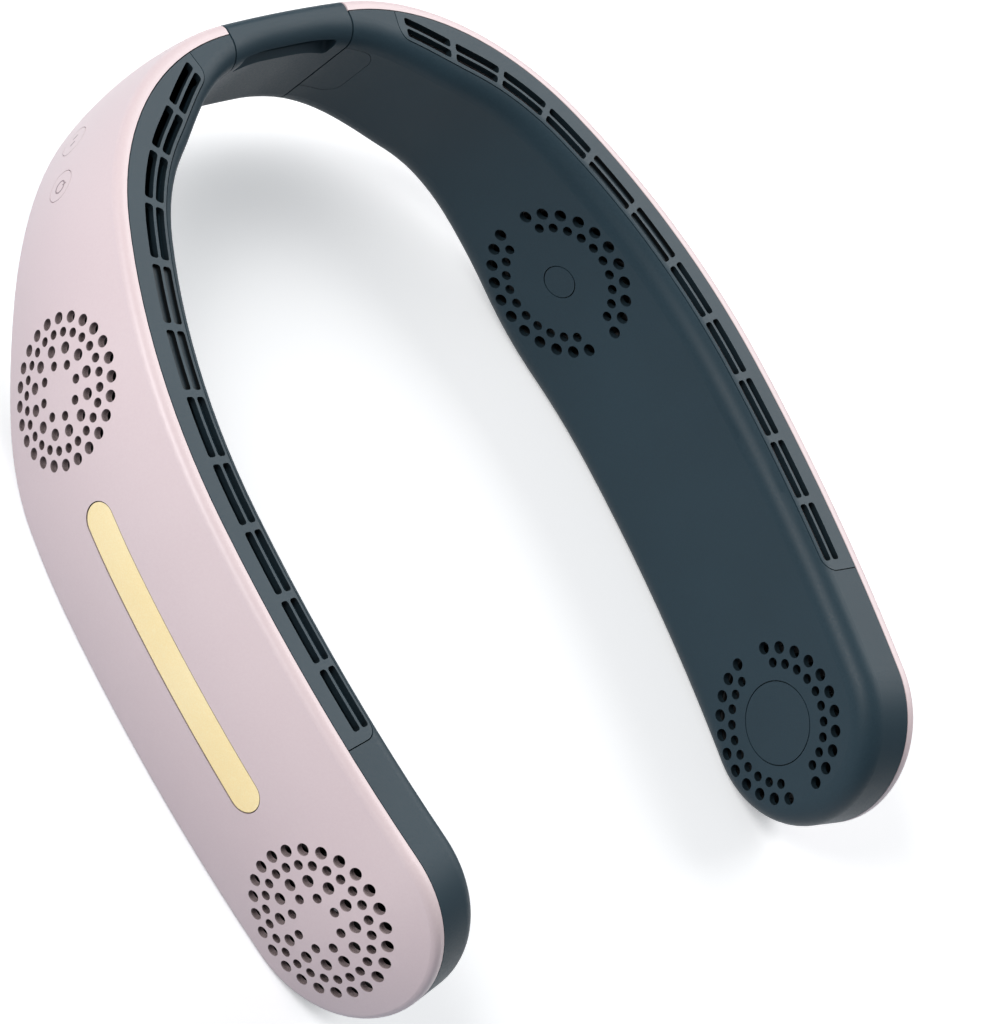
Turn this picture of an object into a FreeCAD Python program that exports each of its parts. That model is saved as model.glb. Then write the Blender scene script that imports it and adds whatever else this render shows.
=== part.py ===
import FreeCAD, Part
import math
import os

from FreeCAD import Placement, Rotation, Vector

# Electric neck fan: two hollow arms and a rear bridge make a horseshoe round the neck.
# Each arm holds two double-inlet blowers that blow out through the slotted grille on its top edge.
# Modelled with the back of the neck at y = 0 and the tips towards -Y, then centred on export.

# Plan of the outer face, as arcs from the middle of the back round to the tip
REAR_RADIUS = 511.0
SHOULDER_RADIUS = 68.6
SHOULDER_LENGTH = 73.1
FLANK_RADIUS = 158.0
FLANK_LENGTH = 71.0
ARM_RADIUS = 400.0
TIP_STATION = 242.8

# Side view: arm height, raised back, and the slope between them
HEIGHT = 49.0
REAR_RISE = 17.5
RISE_START = 110.0
RISE_RUN = 47.0
RISE_BLEND = 60.0

# Crown of the outer face: its radius upright and round the tip, and how far its rim falls behind the plan
CROWN_RADIUS = 75.0
CROWN_FALL = 1.6
CROWN_SPAN = 5.0

# Thickness from the plan of the outer face to the neck face, thin at the bridge and full along the arms
REAR_THICKNESS = 9.2
ARM_THICKNESS = 17.9
TAPER_START = 6.0
TAPER_END = 60.0
TAPER_SPANS = 12

# Shell walls, edge rounds and parting lines
WALL = 1.6
EDGE_ROUND = 2.0
NECK_ROUND = 5.2
LEAST_ROUND = 0.4
PARTING = 4.1
SEAM = 0.25
FIT = 0.3

# Rear bridge: where it meets the arms, its plugs and the nape air slot
BRIDGE_HALF = 19.5
BRIDGE_SEAM = 0.5
PLUG_LENGTH = 5.0
PLUG_WALL = 1.0
PLUG_CLEARANCE = 0.2
NAPE_LENGTH = 31.0
NAPE_HEIGHT = 3.4
NAPE_DROP = 4.6
NAPE_ROUND = 1.2
NAPE_LIP = 2.4
NAPE_SINK = 1.5

# Cover tab beside each bridge seam, on the neck face
TAB_LENGTH = 11.0
TAB_HEIGHT = 16.5
TAB_DROP = 5.5
TAB_ROUND = 4.0
TAB_DEPTH = 0.9
TAB_GAP = 0.12

# Top grille strip with two rows of slots
GRILLE_START = 35.4
GRILLE_END = 217.0
GRILLE_INSET = 3.6
GRILLE_THICKNESS = 1.5
GRILLE_CORNER = 3.4
SLOT_START = 36.9
SLOT_END = 215.3
SLOT_COUNT = 11
SLOT_BAR = 1.7
SLOT_WIDTH = 2.1
SLOT_EDGE = 4.4
SLOT_RIB = 0.7
SLOT_ROUND = 0.7
BLIND_SLOTS = (4, 5)
BLIND_DEPTH = 0.8
HOOK_REACH = 1.0
HOOK_THICKNESS = 1.1
HOOK_RIB = 0.7
LEDGE_WIDTH = 0.8
LEDGE_THICKNESS = 1.2

# Blowers: places along the arm, and the perforated rings in front of and behind them
UPPER_STATION = 121.8
UPPER_LIFT = 0.4
TIP_LIFT = -2.4
UPPER_RING_INSET = 1.8
TIP_RING_INSET = 1.0
NECK_RING_INSET = 0.1
RING_STEPS = 24
SECOND_RING_SHARE = 0.797
THIRD_RING_SHARE = 0.582
FOURTH_RING_SHARE = 0.368
THIRD_COUNT = 12
FOURTH_COUNT = 8
BIG_HOLE_SHARE = 0.084
SMALL_HOLE_SHARE = 0.067

# Impeller, motor and scroll of one blower, by depth from the outer face
WHEEL_MARGIN = 7.3
WHEEL_NEAR = 4.4
WHEEL_FAR = 13.6
WHEEL_RING = 1.4
WHEEL_PLATE = 0.8
HUB_RADIUS = 9.6
HUB_WALL = 0.9
BLADE_COUNT = 18
BLADE_ROOT = 11.4
BLADE_THICKNESS = 0.7
BLADE_SWEEP = 16.0
BLADE_BOW = 3.0
MAGNET_WALL = 1.0
GLUE_GAP = 0.05
SHAFT_RADIUS = 0.75
RUNNING_GAP = 0.03
BEARING_WALL = 0.9
POST_WALL = 0.9
STATOR_RADIUS = 7.0
STATOR_HEIGHT = 4.2
STATOR_TEETH = 6
TOOTH_WIDTH = 1.6
POLE_RING = 1.1
POLE_GAP = 1.2
BASE_RADIUS = 10.8
BASE_THICKNESS = 1.2
TIP_BOSS = 9.4
UPPER_BOSS = 3.8
SCROLL_GAP = 0.8
SCROLL_STEP = 0.6
SCROLL_WALL = 1.0
SCROLL_NEAR = 0.8
SCROLL_TONGUE = 120.0

# Accent bar set in the outer face
BAR_START = 146.6
BAR_END = 217.2
BAR_WIDTH = 7.6
BAR_SINK = 0.15
BAR_THICKNESS = 0.75
BAR_GLUE = 0.05

# Battery pouch, one in each arm
BATTERY_STATION = 182.0
BATTERY_LENGTH = 60.0
BATTERY_WIDTH = 32.0
BATTERY_THICKNESS = 8.0
BATTERY_ROUND = 1.5

# Controls in the right arm: two buttons on one board, and the charging socket
BOARD_STATION = 68.2
BOARD_LENGTH = 27.0
BOARD_FLOOR = 3.2
BOARD_DROP = 8.9
BOARD_THICKNESS = 1.0
BUTTON_PITCH = 13.5
BUTTON_RADIUS = 3.7
BUTTON_GAP = 0.15
BUTTON_TRAVEL = 0.5
FLANGE_NEAR = 2.9
FLANGE_THICKNESS = 0.7
FLANGE_LIP = 0.9
STEM_RADIUS = 1.2
STEM_LENGTH = 0.9
TRAVEL_SPARE = 0.05
PLUNGER_RADIUS = 1.0
PLUNGER_LENGTH = 0.75
SWITCH_SIDE = 4.8
SWITCH_HEIGHT = 1.9
BOSS_RADIUS = 1.6
BOSS_INSET = 3.0
SOCKET_WIDTH = 8.9
SOCKET_DEPTH = 3.2
SOCKET_LENGTH = 7.3
SOCKET_WALL = 0.3
SOCKET_RECESS = 0.3
TONGUE_WIDTH = 6.7
TONGUE_THICKNESS = 0.7
TONGUE_LENGTH = 5.0

# Link cable from the board through the bridge to the left upper blower
CABLE_RADIUS = 1.0
CABLE_DEPTH = 4.6

# Overrun of every cut, and the span within which points count as touching
OVERRUN = 3.0
TOUCH = 0.02

# Places worked out from the sizes above
UP = Vector(0, 0, 1)
ACROSS = Vector(1, 0, 0)
TIP_RADIUS = HEIGHT / 2
MIDDLE = HEIGHT / 2
REAR_HALF = BRIDGE_HALF + BRIDGE_SEAM
CROWN_REACH = HEIGHT * HEIGHT / (8 * CROWN_RADIUS) + OVERRUN
RISE_SLOPE = math.atan2(REAR_RISE, RISE_RUN)
RISE_EASE = RISE_BLEND * math.tan(RISE_SLOPE / 2)
ARM_END = TIP_STATION + TIP_RADIUS + OVERRUN
BREAKS = (REAR_HALF, REAR_HALF + SHOULDER_LENGTH, REAR_HALF + SHOULDER_LENGTH + FLANK_LENGTH)
PLAN_ARCS = (
    (REAR_RADIUS, REAR_HALF),
    (SHOULDER_RADIUS, SHOULDER_LENGTH),
    (FLANK_RADIUS, FLANK_LENGTH),
    (ARM_RADIUS, ARM_END),
)
PLUG_INSET = WALL + PLUG_CLEARANCE
NECK_WALL = ARM_THICKNESS - WALL
SLOT_ROWS = (SLOT_EDGE, SLOT_EDGE + SLOT_WIDTH + SLOT_RIB)
STEM_END = FLANGE_NEAR + FLANGE_THICKNESS + STEM_LENGTH
PLUNGER_NEAR = STEM_END + BUTTON_TRAVEL + TRAVEL_SPARE
SWITCH_NEAR = PLUNGER_NEAR + PLUNGER_LENGTH
BOARD_NEAR = SWITCH_NEAR + SWITCH_HEIGHT
BOARD_FAR = BOARD_NEAR + BOARD_THICKNESS
POST_RADIUS = SHAFT_RADIUS + RUNNING_GAP + BEARING_WALL + POST_WALL
WHEEL_RADIUS = TIP_RADIUS - WHEEL_MARGIN
NECK_RING = WHEEL_RADIUS - NECK_RING_INSET
SCROLL_RADIUS = WHEEL_RADIUS + SCROLL_GAP
NAPE_LEVEL = HEIGHT - NAPE_DROP
TAB_TOP = HEIGHT - TAB_DROP
TAB_BOTTOM = TAB_TOP - TAB_HEIGHT
BOARD_BOTTOM = REAR_RISE + BOARD_FLOOR
BOARD_TOP = HEIGHT - BOARD_DROP
BUTTON_LEVEL = (BOARD_BOTTOM + BOARD_TOP) / 2
REAR_MIDDLE = (HEIGHT + REAR_RISE) / 2
BASE_FAR = NECK_WALL - FIT


def plan(station):
    """Point on the outer face's plan and its heading, by distance round from the middle of the back."""
    travel = abs(station)
    x = 0.0
    y = 0.0
    heading = 0.0
    for radius, length in PLAN_ARCS:
        step = min(travel, length)
        turn = step / radius
        x -= radius * (math.sin(heading + turn) - math.sin(heading))
        y -= radius * (math.cos(heading) - math.cos(heading + turn))
        heading += turn
        travel -= step
    side = -1 if station < 0 else 1
    return side * x, y, side * heading


def spot(station, depth, level=0.0):
    """Point at a depth inwards from the outer face."""
    x, y, heading = plan(station)
    return Vector(x + math.sin(heading) * depth, y - math.cos(heading) * depth, level)


def thickness(station):
    """Arm thickness at a station, easing from the bridge's to the arm's."""
    ratio = (abs(station) - TAPER_START) / (TAPER_END - TAPER_START)
    return REAR_THICKNESS + (ARM_THICKNESS - REAR_THICKNESS) * smooth(ratio)


def neck_spot(station, lift):
    """Point lifted from the neck face towards the outer face."""
    return spot(station, thickness(station) - lift)


def pose(station, level, lift=0.0):
    """Local frame on the outer face's plan, or lifted off it: x along the arm, y up, z out of the face."""
    heading = plan(station)[2]
    along = Vector(-math.cos(heading), -math.sin(heading), 0)
    out = Vector(-math.sin(heading), math.cos(heading), 0)
    return Placement(spot(station, -lift, level), Rotation(along, UP, out, "ZXY"))


def smooth(ratio):
    """Ease from nought to one with level ends."""
    ratio = min(max(ratio, 0.0), 1.0)
    return ratio * ratio * (3 - 2 * ratio)


def base_level(station):
    """Level of the arm's base at a station, easing up towards the back."""
    tip = spot(TIP_STATION, 0.0)
    heading = plan(TIP_STATION)[2]
    back = (spot(abs(station), 0.0) - tip).dot(Vector(math.cos(heading), math.sin(heading), 0))
    return REAR_RISE * smooth((back - RISE_START + RISE_EASE) / (RISE_RUN + 2 * RISE_EASE))


def crown_rise(station, level):
    """How far the crowned outer face stands out from its plan."""
    past = max(abs(station) - TIP_STATION, 0.0)
    swell = (level - base_level(station)) * (HEIGHT - level) - past * past
    return swell / (2 * CROWN_RADIUS) - CROWN_FALL


def crown_spot(station, level, inset):
    """Point on the crowned outer face, or on a parallel face drawn in by an inset."""
    slope = (base_level(station) + HEIGHT - 2 * level) / (2 * CROWN_RADIUS)
    reach = inset / math.hypot(1, slope)
    return spot(station, reach - crown_rise(station, level), level + reach * slope)


def crown_band(near, far, start, end):
    """Solid between two faces parallel to the crown, lofted through sections along the arm."""
    count = math.ceil((end - start) / CROWN_SPAN)
    levels = (-OVERRUN, MIDDLE, HEIGHT + OVERRUN)
    sections = []
    for index in range(count + 1):
        station = start + (end - start) * index / count
        front = Part.Arc(*[crown_spot(station, level, near) for level in levels])
        rear = Part.Arc(*[crown_spot(station, level, far) for level in reversed(levels)])
        top = Part.LineSegment(front.EndPoint, rear.StartPoint)
        bottom = Part.LineSegment(rear.EndPoint, front.StartPoint)
        sections.append(Part.Wire([side.toShape() for side in (front, top, rear, bottom)]))
    return Part.makeLoft(sections, True)


def outer_edges(depth, start, end):
    """Arcs that run parallel to the outer face's plan."""
    marks = [-mark for mark in reversed(BREAKS)] + list(BREAKS)
    stops = [start] + [mark for mark in marks if start < mark < end] + [end]
    edges = []
    for first, last in zip(stops, stops[1:]):
        middle = (first + last) / 2
        edges.append(Part.Arc(spot(first, depth), spot(middle, depth), spot(last, depth)).toShape())
    return edges


def taper_edge(lift, start, end):
    """Smooth curve along the neck face where the thickness changes."""
    span = (end - start) / TAPER_SPANS
    points = [neck_spot(start + span * index, lift) for index in range(TAPER_SPANS + 1)]
    first = neck_spot(start + TOUCH, lift) - neck_spot(start - TOUCH, lift)
    last = neck_spot(end + TOUCH, lift) - neck_spot(end - TOUCH, lift)
    curve = Part.BSplineCurve()
    curve.interpolate(Points=points, InitialTangent=first, FinalTangent=last)
    return curve.toShape()


def neck_edges(lift, start, end):
    """Curves that run parallel to the neck face's plan."""
    edges = []
    if start < -TAPER_END:
        edges += outer_edges(ARM_THICKNESS - lift, start, -TAPER_END)
    if start < TAPER_END:
        edges.append(taper_edge(lift, max(start, -TAPER_END), min(end, TAPER_END)))
    if end > TAPER_END:
        edges += outer_edges(ARM_THICKNESS - lift, max(start, TAPER_END), end)
    return edges


def prism(near_edges, far_edges, bottom, top):
    """Upright solid between two runs of plan edges."""
    near = Part.Wire(near_edges)
    far = Part.Wire(far_edges)
    heads = Part.LineSegment(near_edges[0].firstVertex(True).Point, far_edges[0].firstVertex(True).Point)
    tails = Part.LineSegment(near_edges[-1].lastVertex(True).Point, far_edges[-1].lastVertex(True).Point)
    edges = near.Edges + far.Edges + [heads.toShape(), tails.toShape()]
    face = Part.Face(Part.Wire(Part.sortEdges(edges)[0]))
    face.translate(UP * bottom)
    return face.extrude(UP * (top - bottom))


def outer_band(near, far, start, end, bottom, top):
    """Upright solid between two depths from the outer face."""
    return prism(outer_edges(near, start, end), outer_edges(far, start, end), bottom, top)


def neck_band(near, far, start, end, bottom, top):
    """Upright solid between two lifts from the neck face."""
    return prism(neck_edges(near, start, end), neck_edges(far, start, end), bottom, top)


def cross_band(depth, lift, start, end, bottom, top):
    """Upright solid from a depth at the outer face to a lift at the neck face."""
    return prism(outer_edges(depth, start, end), neck_edges(lift, start, end), bottom, top)


def rounded_face(corners):
    """Flat face with straight sides and a radius at each corner, given as x, y, radius."""
    bends = []
    for index, (x, y, radius) in enumerate(corners):
        here = Vector(x, y, 0)
        if radius == 0:
            bends.append((here, None, here))
            continue
        before = Vector(*corners[index - 1][:2], 0)
        after = Vector(*corners[(index + 1) % len(corners)][:2], 0)
        back = (before - here).normalize()
        ahead = (after - here).normalize()
        half = back.getAngle(ahead) / 2
        reach = radius / math.tan(half)
        middle = (back + ahead).normalize() * (radius / math.sin(half) - radius)
        bends.append((here + back * reach, here + middle, here + ahead * reach))
    edges = []
    for index, (first, middle, last) in enumerate(bends):
        following = bends[(index + 1) % len(bends)][0]
        if middle:
            edges.append(Part.Arc(first, middle, last).toShape())
        if (following - last).Length > TOUCH:
            edges.append(Part.LineSegment(last, following).toShape())
    return Part.Face(Part.Wire(edges))


def box_face(left, right, bottom, top, radius):
    """Rectangle with four equal corner radii."""
    corners = ((left, bottom), (right, bottom), (right, top), (left, top))
    return rounded_face([(x, y, radius) for x, y in corners])


def inward(face, near, far):
    """Local solid from a face, between two depths below the outer face."""
    solid = face.extrude(UP * (far - near))
    solid.translate(-UP * far)
    return solid


def ring(outer, inner, near, far):
    """Local tube between two depths below the outer face."""
    tube = Part.makeCylinder(outer, far - near, -UP * far)
    if inner > 0:
        tube = tube.cut(Part.makeCylinder(inner, far - near + 2 * OVERRUN, -UP * (far + OVERRUN)))
    return tube


def placed(shape, place):
    """Copy of a local shape, moved to its place on the arm."""
    copy = shape.copy()
    copy.Placement = place.multiply(shape.Placement)
    return copy


def mirrored(shape):
    """The same piece on the other arm."""
    return shape.mirror(Vector(0, 0, 0), ACROSS)


def upright(edge):
    """Whether an edge stands straight up."""
    ends = edge.Vertexes[0].Point - edge.Vertexes[-1].Point
    return abs(ends.z) > TOUCH and math.hypot(ends.x, ends.y) < TOUCH


def crown_rim(body, inset, start, end):
    """Edges round the crowned outer face, apart from those in the cut ends."""
    probe = Part.Vertex(crown_spot((start + end) / 2, REAR_MIDDLE, inset))
    crown = min(body.Faces, key=lambda face: face.distToShape(probe)[0])
    rim = []
    for edge in crown.Edges:
        middle = edge.valueAt((edge.FirstParameter + edge.LastParameter) / 2)
        ends = [abs(pose(cut, 0.0).inverse().multVec(middle).x) for cut in (start, end)]
        if min(ends) > TOUCH:
            rim.append(edge)
    return rim


def rim_edges(body, guide):
    """Top, bottom and tip edges that follow a plan curve."""
    edges = []
    for edge in body.Edges:
        middle = edge.valueAt((edge.FirstParameter + edge.LastParameter) / 2)
        if not upright(edge) and guide.distToShape(Part.Vertex(middle.x, middle.y, 0))[0] < TOUCH:
            edges.append(edge)
    return edges


def corner_edges(body, points):
    """Upright edges that stand on given plan points."""
    edges = []
    for edge in body.Edges:
        foot = edge.Vertexes[0].Point
        near = [p for p in points if math.hypot(p.x - foot.x, p.y - foot.y) < TOUCH]
        if near and upright(edge):
            edges.append(edge)
    return edges


def softened(blank, inset, start, end):
    """Blank crowned on its outer face, with its neck and outer edges rounded, less by how far it is inset."""
    neck = Part.Wire(neck_edges(inset, start, end))
    blank = blank.makeFillet(max(NECK_ROUND - inset, LEAST_ROUND), rim_edges(blank, neck))
    body = blank.cut(crown_band(-2 * CROWN_REACH, inset, start - OVERRUN, end + OVERRUN))
    return body.makeFillet(max(EDGE_ROUND - inset, LEAST_ROUND), crown_rim(body, inset, start, end))


def side_profile(inset):
    """Side view of an arm: round tip, flat base and the slope up to the back."""
    shift = inset * math.tan(RISE_SLOPE / 2)
    round_end = TIP_RADIUS - inset
    return rounded_face([
        (-TIP_STATION, REAR_RISE + inset, 0),
        (shift - RISE_START - RISE_RUN, REAR_RISE + inset, RISE_BLEND + inset),
        (shift - RISE_START, inset, RISE_BLEND - inset),
        (round_end, inset, round_end),
        (round_end, HEIGHT - inset, round_end),
        (-TIP_STATION, HEIGHT - inset, 0),
    ])


def arm_body(inset, start):
    """Right arm as one solid, drawn in by an inset, from a station near the bridge to the tip."""
    blank = cross_band(-CROWN_REACH, inset, start, ARM_END, -OVERRUN, HEIGHT + OVERRUN)
    side = placed(inward(side_profile(inset), -HEIGHT, TIP_STATION), pose(TIP_STATION, 0))
    return softened(blank.common(side), inset, start, ARM_END)


def bridge_body(inset, half):
    """Bridge as one solid, drawn in by an inset, to both sides of the middle."""
    blank = cross_band(-CROWN_REACH, inset, -half, half, REAR_RISE + inset, HEIGHT - inset)
    return softened(blank, inset, -half, half)


def ring_holes(radius, count, turn, hole, near, far, skip=()):
    """Round holes on one circle of a perforated disc, the first towards the bridge."""
    drills = []
    for index in range(count):
        angle = math.radians(180 - turn - index * 360 / count)
        if index not in skip:
            place = Vector(radius * math.cos(angle), radius * math.sin(angle), -far)
            drills.append(Part.makeCylinder(hole, far - near, place))
    return drills


def outer_pattern(inset):
    """Four rings of holes in the outer face, round a plain centre, inset from the wheel's rim."""
    near = -CROWN_REACH
    far = PARTING
    radius = WHEEL_RADIUS - inset
    big = radius * BIG_HOLE_SHARE
    small = radius * SMALL_HOLE_SHARE
    drills = ring_holes(radius, RING_STEPS, 0, big, near, far)
    drills += ring_holes(radius * SECOND_RING_SHARE, RING_STEPS, 180 / RING_STEPS, small, near, far)
    drills += ring_holes(radius * THIRD_RING_SHARE, THIRD_COUNT, 0, big, near, far)
    drills += ring_holes(radius * FOURTH_RING_SHARE, FOURTH_COUNT, 0, small, near, far)
    return Part.makeCompound(drills)


def neck_pattern():
    """Two rings of holes in the neck face, open on the line of the arm."""
    near = NECK_WALL - OVERRUN
    far = ARM_THICKNESS + OVERRUN
    half = RING_STEPS // 2
    drills = ring_holes(NECK_RING, RING_STEPS, 0, NECK_RING * BIG_HOLE_SHARE, near, far, (0, half))
    skip = (0, half - 1, half, RING_STEPS - 1)
    turn = 180 / RING_STEPS
    small = NECK_RING * SMALL_HOLE_SHARE
    drills += ring_holes(NECK_RING * SECOND_RING_SHARE, RING_STEPS, turn, small, near, far, skip)
    return Part.makeCompound(drills)


def grille_blank(grow, bottom, top):
    """Outline of the grille strip, grown all round by a seam, with round corners on the neck side."""
    start = GRILLE_START - grow
    end = GRILLE_END + grow
    lift = GRILLE_INSET - grow
    blank = cross_band(PARTING + SEAM - grow, lift, start, end, bottom, top)
    corners = [neck_spot(start, lift), neck_spot(end, lift)]
    return blank.makeFillet(GRILLE_CORNER + grow, corner_edges(blank, corners))


def grille_slot(lift, index):
    """One slot of the grille strip, or a shallow blind one beside the upper blower."""
    pitch = (SLOT_END - SLOT_START) / SLOT_COUNT
    start = SLOT_START + pitch * index + SLOT_BAR / 2
    end = start + pitch - SLOT_BAR
    depth = BLIND_DEPTH if index in BLIND_SLOTS else GRILLE_THICKNESS + OVERRUN
    far = lift + SLOT_WIDTH
    slot = neck_band(lift, far, start, end, HEIGHT - depth, HEIGHT + OVERRUN)
    corners = [neck_spot(s, rise) for s in (start, end) for rise in (lift, far)]
    return slot.makeFillet(SLOT_ROUND, corner_edges(slot, corners))


def make_grille(arm):
    """Grille strip: slotted plate that hooks under the outer shell's rim."""
    strip = arm.common(grille_blank(0.0, HEIGHT - GRILLE_THICKNESS, HEIGHT + OVERRUN))
    hook_top = HEIGHT - WALL - SEAM
    hook_bottom = hook_top - HOOK_THICKNESS
    edge = PARTING + SEAM
    start = GRILLE_START + GRILLE_CORNER
    end = GRILLE_END - GRILLE_CORNER
    rib = outer_band(edge, edge + HOOK_RIB, start, end, hook_bottom, HEIGHT - GRILLE_THICKNESS)
    hook = outer_band(PARTING - HOOK_REACH, edge + HOOK_RIB, start, end, hook_bottom, hook_top)
    slots = [grille_slot(lift, index) for lift in SLOT_ROWS for index in range(SLOT_COUNT)]
    return strip.multiFuse([rib, hook]).cut(Part.makeCompound(slots))


def grille_ledge(arm):
    """Ledge in the inner shell that the grille strip's neck side rests on."""
    top = HEIGHT - WALL - SEAM / 2
    start = GRILLE_START + GRILLE_CORNER
    end = GRILLE_END - GRILLE_CORNER
    near = GRILLE_INSET - WALL
    far = GRILLE_INSET + LEDGE_WIDTH
    return arm.common(neck_band(near, far, start, end, top - LEDGE_THICKNESS, top))


def bar_face(grow):
    """Capsule outline of the accent bar, about the middle of its length."""
    half = (BAR_END - BAR_START) / 2 + grow
    wide = BAR_WIDTH / 2 + grow
    return box_face(-half, half, -wide, wide, wide)


def bar_solid(grow, near, far):
    """Accent bar, or its recess, following the curve of the outer face."""
    place = pose((BAR_START + BAR_END) / 2, MIDDLE)
    stamp = placed(inward(bar_face(grow), -ARM_THICKNESS, ARM_THICKNESS), place)
    return stamp.common(crown_band(near, far, BAR_START - BAR_WIDTH, BAR_END + BAR_WIDTH))


def tab_solid(grow, lift):
    """Cover tab beside the bridge seam, or its recess, following the neck face."""
    start = REAR_HALF - grow
    end = REAR_HALF + TAB_LENGTH + grow
    blank = neck_band(-OVERRUN, lift, start, end, TAB_BOTTOM - grow, TAB_TOP + grow)
    far_end = [neck_spot(end, -OVERRUN), neck_spot(end, lift)]
    edges = []
    for edge in blank.Edges:
        points = [vertex.Point for vertex in edge.Vertexes]
        flat = [min(math.hypot(p.x - q.x, p.y - q.y) for q in far_end) < TOUCH for p in points]
        if all(flat) and not upright(edge):
            edges.append(edge)
    return blank.makeFillet(TAB_ROUND + grow, edges)


def make_shells(arm):
    """Outer and inner shell of the right arm, before what only one arm has."""
    hollow = arm_body(WALL, BRIDGE_HALF - OVERRUN)
    shell = arm.cut(hollow)
    start = BRIDGE_HALF - OVERRUN
    low = -OVERRUN
    high = HEIGHT + OVERRUN
    outer = shell.common(outer_band(-CROWN_REACH, PARTING, start, ARM_END, low, high))
    inner = shell.common(cross_band(PARTING + SEAM, -OVERRUN, start, ARM_END, low, high))
    inner = inner.cut(grille_blank(SEAM, HEIGHT - GRILLE_CORNER, high)).fuse(grille_ledge(arm))
    inner = inner.cut(tab_solid(TAB_GAP, TAB_DEPTH + TAB_GAP))
    outer = outer.cut(bar_solid(SEAM, -OVERRUN, BAR_SINK + BAR_THICKNESS + BAR_GLUE))
    for station, level, boss, inset in BLOWERS.values():
        place = pose(station, level)
        outer = outer.cut(placed(outer_pattern(inset), place))
        eye = ring(boss + SEAM, 0, NECK_WALL - OVERRUN, ARM_THICKNESS + OVERRUN)
        inner = inner.cut(placed(neck_pattern(), place)).cut(placed(eye, place))
    return outer, inner


def make_bridge():
    """Rear bridge: hollow sleeve with a plug at each end and the nape air slot."""
    reach = BRIDGE_HALF + PLUG_LENGTH
    sleeve = bridge_body(0.0, BRIDGE_HALF).fuse(bridge_body(PLUG_INSET, reach))
    sleeve = sleeve.cut(bridge_body(PLUG_INSET + PLUG_WALL, reach + OVERRUN))
    half = NAPE_LENGTH / 2
    low = NAPE_LEVEL - NAPE_HEIGHT / 2
    top = low + NAPE_HEIGHT
    slot = box_face(-half, half, low, top, NAPE_ROUND)
    slot = inward(slot, REAR_THICKNESS / 2, REAR_THICKNESS + WALL + OVERRUN)
    mouths = []
    for drop, depth in ((0.0, REAR_THICKNESS - NAPE_SINK), (NAPE_LIP, REAR_THICKNESS + NAPE_SINK)):
        mouth = box_face(-half, half, low - drop, top, NAPE_ROUND).OuterWire
        mouth.translate(-UP * depth)
        mouths.append(mouth)
    scoop = Part.makeLoft(mouths, True, True)
    return sleeve.cut(placed(slot.fuse(scoop), pose(0.0, 0.0)))


def blade():
    """One curved blade between the hub and the rim."""
    sweep = math.radians(BLADE_SWEEP)
    bow = math.radians(BLADE_BOW)
    tip = WHEEL_RADIUS - WHEEL_RING / 2

    def at(radius, angle):
        return Vector(radius * math.cos(angle), radius * math.sin(angle), 0)

    middle = (BLADE_ROOT + tip) / 2
    sides = []
    for turn in (0.0, BLADE_THICKNESS / middle):
        sides.append((at(BLADE_ROOT, turn), at(middle, turn + sweep / 2 - bow), at(tip, turn + sweep)))
    (root, front, end), (back_root, back, back_end) = sides
    edges = [
        Part.Arc(root, front, end).toShape(),
        Part.LineSegment(end, back_end).toShape(),
        Part.Arc(back_end, back, back_root).toShape(),
        Part.LineSegment(back_root, root).toShape(),
    ]
    return inward(Part.Face(Part.Wire(edges)), WHEEL_NEAR, WHEEL_FAR)


def make_impeller():
    """Double-inlet impeller: hub cup, middle plate, blades and two end rings."""
    middle = (WHEEL_NEAR + WHEEL_FAR) / 2
    cup = ring(HUB_RADIUS, 0, WHEEL_NEAR, WHEEL_FAR).cut(
        ring(HUB_RADIUS - HUB_WALL, 0, WHEEL_NEAR + 2 * HUB_WALL, WHEEL_FAR + OVERRUN))
    tip = WHEEL_RADIUS - WHEEL_RING / 2
    plate = ring(tip, HUB_RADIUS - HUB_WALL, middle - WHEEL_PLATE / 2, middle + WHEEL_PLATE / 2)
    inner_rim = WHEEL_RADIUS - WHEEL_RING
    front = ring(WHEEL_RADIUS, inner_rim, WHEEL_NEAR, WHEEL_NEAR + WHEEL_PLATE)
    rear = ring(WHEEL_RADIUS, inner_rim, WHEEL_FAR - WHEEL_PLATE, WHEEL_FAR)
    blades = []
    for index in range(BLADE_COUNT):
        copy = blade()
        copy.rotate(Vector(0, 0, 0), UP, index * 360 / BLADE_COUNT)
        blades.append(copy)
    wheel = cup.multiFuse([plate, front, rear] + blades)
    return wheel.cut(ring(SHAFT_RADIUS + GLUE_GAP / 2, 0, 0, WHEEL_NEAR + 2 * HUB_WALL + OVERRUN))


def make_stator():
    """Wound stator: a core ring with poles, carried on the base's post."""
    bore = POST_RADIUS + GLUE_GAP
    far = BASE_FAR - BASE_THICKNESS - FIT
    near = far - STATOR_HEIGHT
    core = ring(bore + POLE_RING, bore, near, far)
    rim = ring(STATOR_RADIUS, STATOR_RADIUS - POLE_RING, near, far)
    teeth = []
    gaps = []
    for index in range(STATOR_TEETH):
        turn = index * 360 / STATOR_TEETH
        inside = bore + POLE_RING / 2
        outside = STATOR_RADIUS - POLE_RING / 2
        tooth = inward(box_face(inside, outside, -TOOTH_WIDTH / 2, TOOTH_WIDTH / 2, 0), near, far)
        tooth.rotate(Vector(0, 0, 0), UP, turn)
        teeth.append(tooth)
        split = STATOR_RADIUS + POLE_RING
        gap = inward(box_face(outside - POLE_RING, split, -POLE_GAP / 2, POLE_GAP / 2, 0), near, far)
        gap.rotate(Vector(0, 0, 0), UP, turn + 180 / STATOR_TEETH)
        gaps.append(gap)
    return core.multiFuse([rim.cut(Part.makeCompound(gaps))] + teeth)


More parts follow.
